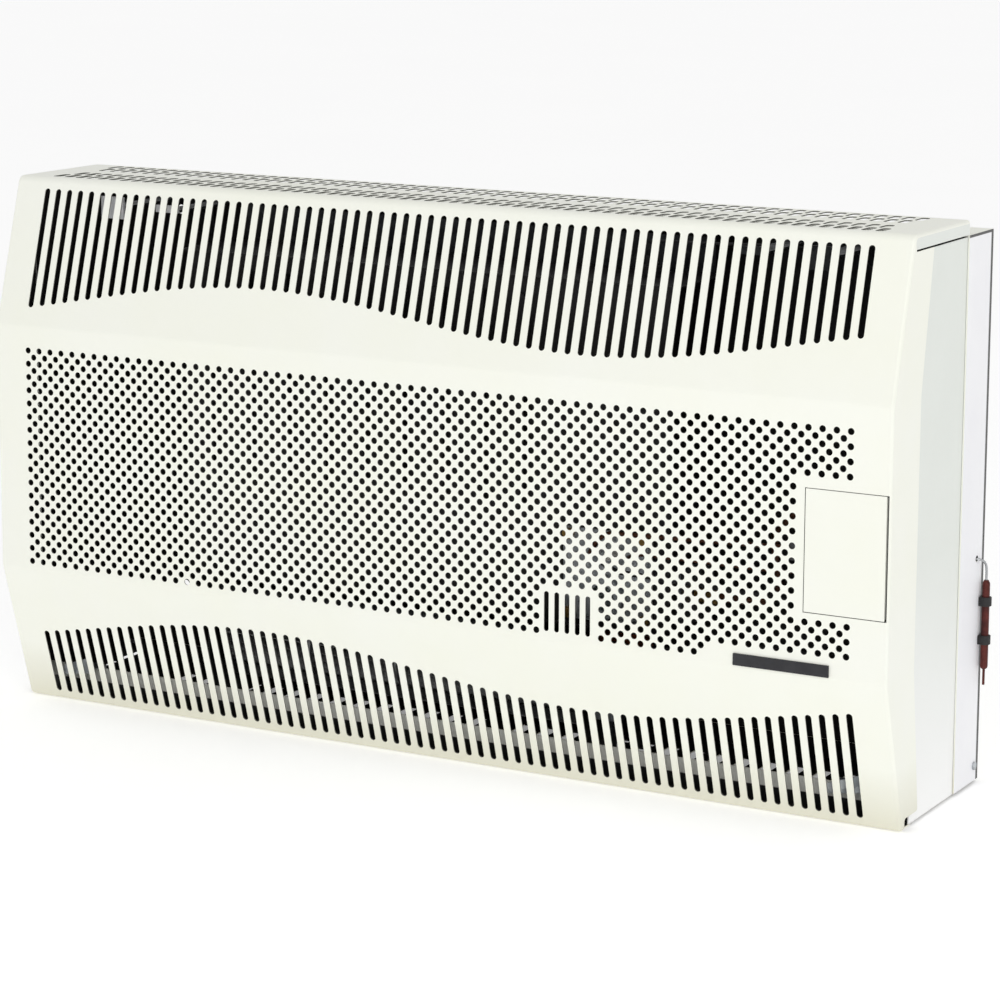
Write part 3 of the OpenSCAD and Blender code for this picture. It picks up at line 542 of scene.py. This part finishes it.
def punched_field(sheet, profile, edge, door):
    """The middle band: rows of staggered round holes round the sight slots and the door."""
    s0, s1 = profile.bands[MIDDLE_BAND]
    door_x, door_low, door_high = door

    def s_at(z):
        return profile.where(z, MIDDLE_BAND)

    sheet.cell(-edge, edge, s_at(FIELD_TOP + HALF_PITCH / 2), s1)
    sheet.cell(-edge, edge, s0, s_at(FIELD_BOTTOM))
    for row in range(FIELD_ROWS):
        z = FIELD_TOP - row * HALF_PITCH
        low, high = s_at(z - HALF_PITCH / 2), s_at(z + HALF_PITCH / 2)
        odd = row % 2
        right_end = (odd - (FIELD_COLUMNS + 1) / 2) * HALF_PITCH
        sheet.cell(-edge, right_end, low, high)
        for column in range(odd, FIELD_COLUMNS, 2):
            from_right = FIELD_COLUMNS - 1 - column
            x = (column - (FIELD_COLUMNS - 1) / 2) * HALF_PITCH
            x0, x1 = x - HALF_PITCH, x + HALF_PITCH
            if z < SIGHT_TOP and x1 > SIGHT_LEFT + TINY and x0 < SIGHT_RIGHT - TINY:
                if x0 < SIGHT_LEFT - TINY:
                    sheet.cell(x0, SIGHT_LEFT, low, high)
                if x1 > SIGHT_RIGHT + TINY:
                    sheet.cell(SIGHT_RIGHT, x1, low, high)
            elif row in DOOR_ROWS and from_right <= DOOR_COLUMNS:
                break
            elif from_right <= FOOT_COLUMNS and row > FOOT_ROW - odd:
                sheet.cell(x0, x1, low, high)
            else:
                sheet.cell(x0, x1, low, high, round_hole(x, s_at(z)))
            right_end = x1
        clear_low, clear_high = max(low, door_low), min(high, door_high)
        if clear_low >= clear_high:
            sheet.cell(right_end, edge, low, high)
            continue
        sheet.cell(right_end, door_x, low, high)
        if clear_low > low + TINY:
            sheet.cell(door_x, edge, low, clear_low)
        if clear_high < high - TINY:
            sheet.cell(door_x, edge, clear_high, high)


def sight_slots(sheet, profile):
    """Upright slots in front of the sight glass."""
    low, high, start, end = (profile.where(z, MIDDLE_BAND) for z in (
        FIELD_BOTTOM, SIGHT_TOP, SIGHT_START, SIGHT_START + SIGHT_LENGTH))
    middles = [SIGHT_MIDDLE + (k - (SIGHT_COUNT - 1) / 2) * SIGHT_PITCH for k in range(SIGHT_COUNT)]
    edges = [SIGHT_LEFT] + [x + SIGHT_PITCH / 2 for x in middles[:-1]] + [SIGHT_RIGHT]
    for x, left, right in zip(middles, edges, edges[1:]):
        sheet.cell(left, right, low, high, slot_hole(x, start, end, SIGHT_SLOT_W))


def rounded(points, radius, steps=4):
    """An open line of (y, z) points with each inner corner rounded."""
    out = [points[0]]
    for a, p, b in zip(points, points[1:], points[2:]):
        back, ahead = a - p, b - p
        reach = min(radius, back.length / 2.2, ahead.length / 2.2)
        start, end = p + back.normalized() * reach, p + ahead.normalized() * reach
        for n in range(steps + 1):
            u = n / steps
            out.append(start * (1 - u) ** 2 + p * 2 * u * (1 - u) + end * u * u)
    return out + [points[-1]]


class Shell:
    """A thin sheet: outer points with normals, from which the inner face and the rims follow."""

    def __init__(self, thickness, punched):
        self.thickness = thickness
        self.punched = punched
        self.points = []
        self.normals = []
        self.faces = []
        self.tones = []
        self.index = {}

    def point(self, key, place, normal):
        """The number of the point with this key, which is made if it is new."""
        if key not in self.index:
            self.index[key] = len(self.points)
            self.points.append(Vector(place))
            self.normals.append(Vector(normal))
        return self.index[key]

    def face(self, corners, flip=False, tone=OUTER):
        """Adds a face of the outer side, with the number of its finish."""
        self.tones.append(tone)
        self.faces.append(corners[::-1] if flip else corners)

    def build(self, name, finishes):
        """The finished object, with its finishes in the order of their numbers."""
        count = len(self.points)
        shells = len(self.faces)
        inner = [p - n * self.thickness for p, n in zip(self.points, self.normals)]
        sides = {side for face in self.faces for side in zip(face, face[1:] + face[:1])}
        faces = self.faces + [[count + v for v in reversed(face)] for face in self.faces]
        faces += [[b, a, count + a, count + b] for a, b in sorted(sides) if (b, a) not in sides]
        mesh = bpy.data.meshes.new(name)
        mesh.from_pydata([tuple(p) for p in self.points + inner], [], faces)
        loops = []
        for n, polygon in enumerate(mesh.polygons):
            polygon.use_smooth = True
            if n < shells:
                polygon.material_index = self.tones[n]
                loops += [self.normals[v] for v in polygon.vertices]
            elif n < 2 * shells:
                # The inner face takes painted shade
                polygon.material_index = INNER
                loops += [-self.normals[v - count] for v in polygon.vertices]
            else:
                # Rims of slots and holes take a shaded cream as painted shade
                polygon.material_index = RIM_SHADE if self.punched(polygon.center) else OUTER
                loops += [polygon.normal.copy() for _ in polygon.vertices]
        mesh.normals_split_custom_set(loops)
        for finish in finishes:
            mesh.materials.append(finish)
        made = bpy.data.objects.new(name, mesh)
        bpy.context.scene.collection.objects.link(made)
        return made


def skin_point(shell, profile, x, s):
    """A point on the outer face of the folded sheet."""
    (y, z), (ny, nz) = profile.at(s)
    return shell.point((snap(x), snap(s)), (x, y, z), (0, ny, nz))


def rolled_edge(shell, profile, side, edge, door):
    """The rolled edge at one side, cut back beside the door. Gives the points at its end."""
    _, door_low, door_high = door
    line = sorted(key[1] for key in shell.index
                  if len(key) == 2 and abs(key[0] - side * edge) < TINY and key[1] > LIP_NOTCH - TINY)
    columns = []
    for s in line:
        (y, z), (ny, nz) = profile.at(s)
        normal = Vector((0, ny, nz))
        centre = Vector((side * edge, y, z)) - normal * CORNER_R
        column = [skin_point(shell, profile, side * edge, s)]
        for n in range(1, CORNER_STEPS + 1):
            a = math.pi / 2 * n / CORNER_STEPS
            outward = normal * math.cos(a) + Vector((side, 0, 0)) * math.sin(a)
            column.append(shell.point((side, "corner", s, n), centre + outward * CORNER_R, outward))
        columns.append(column)
    for s0, s1, a, b in zip(line, line[1:], columns, columns[1:]):
        beside_door = side > 0 and s0 > door_low - TINY and s1 < door_high + TINY
        for n in range(int(beside_door), CORNER_STEPS):
            shell.face([a[n], a[n + 1], b[n + 1], b[n]], flip=side < 0)
    return [column[-1] for column in columns]


def side_return(shell, side, low, high, ends):
    """The flat return at one side, and the seam that parts it from the top flange; the flange's band
    takes the side panels' grey as painted shade.
    """
    seam_top = high.z - FLANGE
    seam_low = seam_top - SEAM
    seam_front = low.y + LEAN_TOP + SEAM_START
    return_back = low.y + RETURN_DEPTH
    toe = low.y + LEAN_LOW + RETURN_TOE
    outline = [Vector(p) for p in (
        (high.y, seam_top), (seam_front, seam_top), (seam_front, seam_low))]
    outline += rounded([Vector(p) for p in (
        (return_back + RETURN_LEAN_TOP, seam_low), (return_back, FOLD_HIGH),
        (return_back, FOLD_LOW), (return_back + RETURN_LEAN_LOW, RETURN_FOOT),
        (toe, RETURN_FOOT), (toe, CORNER_R))], RETURN_R)
    rim = [shell.point((side, "return", n), (side * high.x, p.x, p.y), (side, 0, 0))
           for n, p in enumerate(outline)]
    split = next(n for n, v in enumerate(ends) if shell.points[v].z > seam_top)
    shell.face(ends[:split + 1] + rim[1:], flip=side > 0)
    # The top flange's band takes the side panels' grey as painted shade
    shell.face(ends[split:] + rim[:2], flip=side > 0, tone=FLANGE_SHADE)


def make_cover(finish, inside, flange_shade, cut):
    """The front cover: one punched and folded sheet, with rolled side edges and returns. Its inner
    face, the top flange's band on each return and the rims of its slots and holes take painted shade.
    """
    low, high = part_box("front_cover")
    door_low, door_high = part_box("control_door")
    front, top, back = low.y, high.z, high.y
    edge = high.x - CORNER_R
    profile = Profile([Vector(p) for p in (
        (front + LEAN_LOW + BOTTOM_LIP, 0), (front + LEAN_LOW, 0), (front, FOLD_LOW),
        (front, FOLD_HIGH), (front + LEAN_TOP, top), (back, top))], FOLD_RADII)
    door = (door_low.x - DOOR_GAP,
            profile.where(door_low.z - DOOR_GAP, MIDDLE_BAND),
            profile.where(door_high.z + DOOR_GAP, MIDDLE_BAND))

    sheet = FlatSheet()
    sheet.cell(-edge, edge, 0, LIP_NOTCH)
    sheet.cell(-edge, edge, LIP_NOTCH, profile.bands[LIP_BAND][1])
    for fold in range(len(FOLD_RADII)):
        steps = profile.arc_steps(fold, FOLD_STEPS)
        for s0, s1 in zip(steps, steps[1:]):
            sheet.cell(-edge, edge, s0, s1)
    grille_band(sheet, profile, LOW_BAND, edge,
                lambda x: LOW_SLOT_START, lambda x: LOW_SLOT_END - wave_at(x))
    grille_band(sheet, profile, HIGH_BAND, edge,
                lambda x: HIGH_SLOT_START - wave_at(x), lambda x: top - HIGH_SLOT_MARGIN)
    punched_field(sheet, profile, edge, door)
    sight_slots(sheet, profile)
    top_band(sheet, profile, edge)

    def punched(centre):
        """Whether a rim is that of a slot or a hole: all others are nearer the sheet's outline."""
        return abs(centre.x) < edge - 1 * MM and centre.y < back - 1 * MM and centre.z > 2 * MM

    shell = Shell(SHEET, punched)
    for polygon in sheet.outlines():
        shell.face([skin_point(shell, profile, x, s) for x, s in polygon])
    for side in (-1, 1):
        ends = rolled_edge(shell, profile, side, edge, door)
        side_return(shell, side, low, high, ends)
    cover = shell.build("front_cover_sheet", (finish, inside, flange_shade, cut))
    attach(cover, "casing")
    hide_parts("front_cover")
    return cover


def soften(node, width):
    """Small rounded edges on a CAD part, by modifiers only."""
    mesh = node.data
    mesh.polygons.foreach_set("use_smooth", [True] * len(mesh.polygons))
    weld = node.modifiers.new("weld", "WELD")
    weld.merge_threshold = 1e-6
    bevel = node.modifiers.new("edges", "BEVEL")
    bevel.width = width
    bevel.segments = 2
    bevel.limit_method = "ANGLE"
    bevel.angle_limit = math.radians(35)
    level = node.modifiers.new("normals", "WEIGHTED_NORMAL")
    level.keep_sharp = True


def paint(node, *finishes, choice=None):
    """Gives a CAD part its finishes. For each face, choice turns its centre and normal into a number
    in their order; without one they all have the first."""
    node.data.materials.clear()
    for finish in finishes:
        node.data.materials.append(finish)
    if choice:
        for polygon in node.data.polygons:
            polygon.material_index = choice(polygon.center, polygon.normal)


def inward(centre, normal):
    """1 for a face that looks into the heater from a side or the back, or that looks down; such faces
    take painted shade.
    """
    across = normal.x * centre.x < 0 and abs(normal.x) > FACING
    forward = normal.y < -FACING and centre.y > BACK_INSIDE
    return int(across or forward or normal.z < -FACING)


def frame_finish(centre, normal):
    """0 on the wall frame's flanks, 1 inside it as painted shade, 2 on its back and rims."""
    if inward(centre, normal):
        return 1
    return 0 if abs(normal.x) > FACING else 2


def pan_finish(centre, normal):
    """0 outside the base pan, 1 inside it as painted shade, 2 on its front lip, which turns near
    black low down as painted shade.
    """
    if normal.y < -FACING and centre.y < 0:
        return 2
    on_floor = normal.z > FACING and centre.z < PAN_FLOOR
    return int(on_floor or centre.y > 0 and inward(centre, normal))


def tip_finish(centre, normal):
    """1 on the tips of the two left hooks, which take a lighter zinc as painted light."""
    return int(centre.x < 0 and centre.y < HOOK_TIPS)


def finish_parts(nodes, slot_of, finishes):
    """Finishes and small rounded edges for all CAD parts."""
    cream, side, shade_inside = (
        finishes[name] for name in ("cream_powder_coat", "side_powder_coat", "inside_shade"))
    zinc_in_shade = finishes["shaded_zinc"]
    for name, node in nodes.items():
        paint(node, finishes[slot_of[name]])
        # Rounding would leave fine lines between the holes of the wall frame's large flat back
        if name != "wall_frame":
            soften(node, SOFT_EDGE)
    # Parts deep inside take a darker zinc as painted shade
    for name in ("heat_shield", "fan_housing", "chamber_brackets", "motor_bracket", "intake_duct"):
        paint(nodes[name], zinc_in_shade)
    # The side panels' inward faces take painted shade
    for name in ("side_panel_left", "side_panel_right"):
        paint(nodes[name], side, shade_inside, choice=inward)
    paint(nodes["wall_frame"], finishes["frame_edges"], shade_inside, cream, choice=frame_finish)
    paint(nodes["base_pan"], cream, shade_inside, finishes["lip_light_and_shade"], choice=pan_finish)
    # The hooks take the darker zinc as painted shade, their left tips a lighter zinc as painted light
    paint(nodes["cover_hooks"], zinc_in_shade, finishes["lit_zinc"], choice=tip_finish)


def studio():
    """A pale floor, white surroundings and soft light."""
    world = bpy.data.worlds.new("studio")
    bpy.context.scene.world = world
    world.use_nodes = True
    tree = world.node_tree
    background = tree.nodes["Background"]
    background.inputs["Color"].default_value = (1.0, 1.0, 1.0, 1.0)
    direction = tree.nodes.new("ShaderNodeTexCoord").outputs["Generated"]
    sky = ramp(tree, along_axis(tree, direction, "Z"), 0, 1, SKY_LOW, SKY_HIGH)
    tree.links.new(sky, background.inputs["Strength"])

    mesh = bpy.data.meshes.new("floor")
    corners = [(x * FLOOR_REACH, y * FLOOR_REACH, 0) for x, y in ((-1, -1), (1, -1), (1, 1), (-1, 1))]
    mesh.from_pydata(corners, [], [(0, 1, 2, 3)])
    floor = bpy.data.objects.new("floor", mesh)
    bpy.context.scene.collection.objects.link(floor)
    floor.location.z = -FLOOR_DROP
    made, tree, shader = material_tree("floor_white")
    tree.links.new(mix(tree, object_noise(tree, 2, 2), (0.95, 0.95, 0.95, 1), (0.97, 0.97, 0.97, 1)),
                   shader.inputs["Base Color"])
    shader.inputs["Roughness"].default_value = 0.9
    shader.inputs["Emission Color"].default_value = (1.0, 1.0, 1.0, 1.0)
    shader.inputs["Emission Strength"].default_value = FLOOR_GLOW
    mesh.materials.append(made)

    for name, place, aim, size, power in (
            ("key", (1.3, -1.9, 1.7), (0.4, 0, 0.2), 1.6, 12.5),
            ("fill", (-2.4, -2.6, 1.8), (0, 0, 0.2), 2.0, 0.3)):
        data = bpy.data.lights.new(name, "AREA")
        data.shape = "DISK"
        data.size = size
        data.energy = power
        lamp = bpy.data.objects.new(name, data)
        bpy.context.scene.collection.objects.link(lamp)
        lamp.location = place
        lamp.rotation_euler = (Vector(aim) - Vector(place)).to_track_quat("-Z", "Y").to_euler()


def photo_camera():
    """The camera at the photograph's viewing angle."""
    data = bpy.data.cameras.new("camera")
    data.lens = CAMERA_LENS
    data.shift_y = CAMERA_SHIFT_Y
    data.sensor_width = 36
    data.clip_end = 100
    camera = bpy.data.objects.new("camera", data)
    bpy.context.scene.collection.objects.link(camera)
    camera.matrix_world = (
        Matrix.Translation(CAMERA_PLACE)
        @ Matrix.Rotation(math.radians(CAMERA_YAW), 4, "Z")
        @ Matrix.Rotation(math.radians(CAMERA_TILT), 4, "X")
        @ Matrix.Rotation(math.radians(CAMERA_ROLL), 4, "Z"))
    bpy.context.scene.camera = camera
    bpy.context.scene.view_settings.view_transform = "Standard"


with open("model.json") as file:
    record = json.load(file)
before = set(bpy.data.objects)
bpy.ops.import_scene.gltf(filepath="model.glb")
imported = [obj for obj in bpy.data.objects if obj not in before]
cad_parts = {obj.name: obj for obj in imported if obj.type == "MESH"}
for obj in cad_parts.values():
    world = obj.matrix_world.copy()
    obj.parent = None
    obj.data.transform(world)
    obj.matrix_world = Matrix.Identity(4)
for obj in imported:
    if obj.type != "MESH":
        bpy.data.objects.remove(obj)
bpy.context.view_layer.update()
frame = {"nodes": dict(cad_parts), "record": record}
photo_camera()
studio()
finishes = make_materials()
slot_of = {part["node"]: part["material_slot"] for part in frame["record"]["subparts"]}
finish_parts(frame["nodes"], slot_of, finishes)
make_cover(finishes["cream_powder_coat"], finishes["inside_shade"], finishes["side_powder_coat"],
           finishes["shaded_rims"])
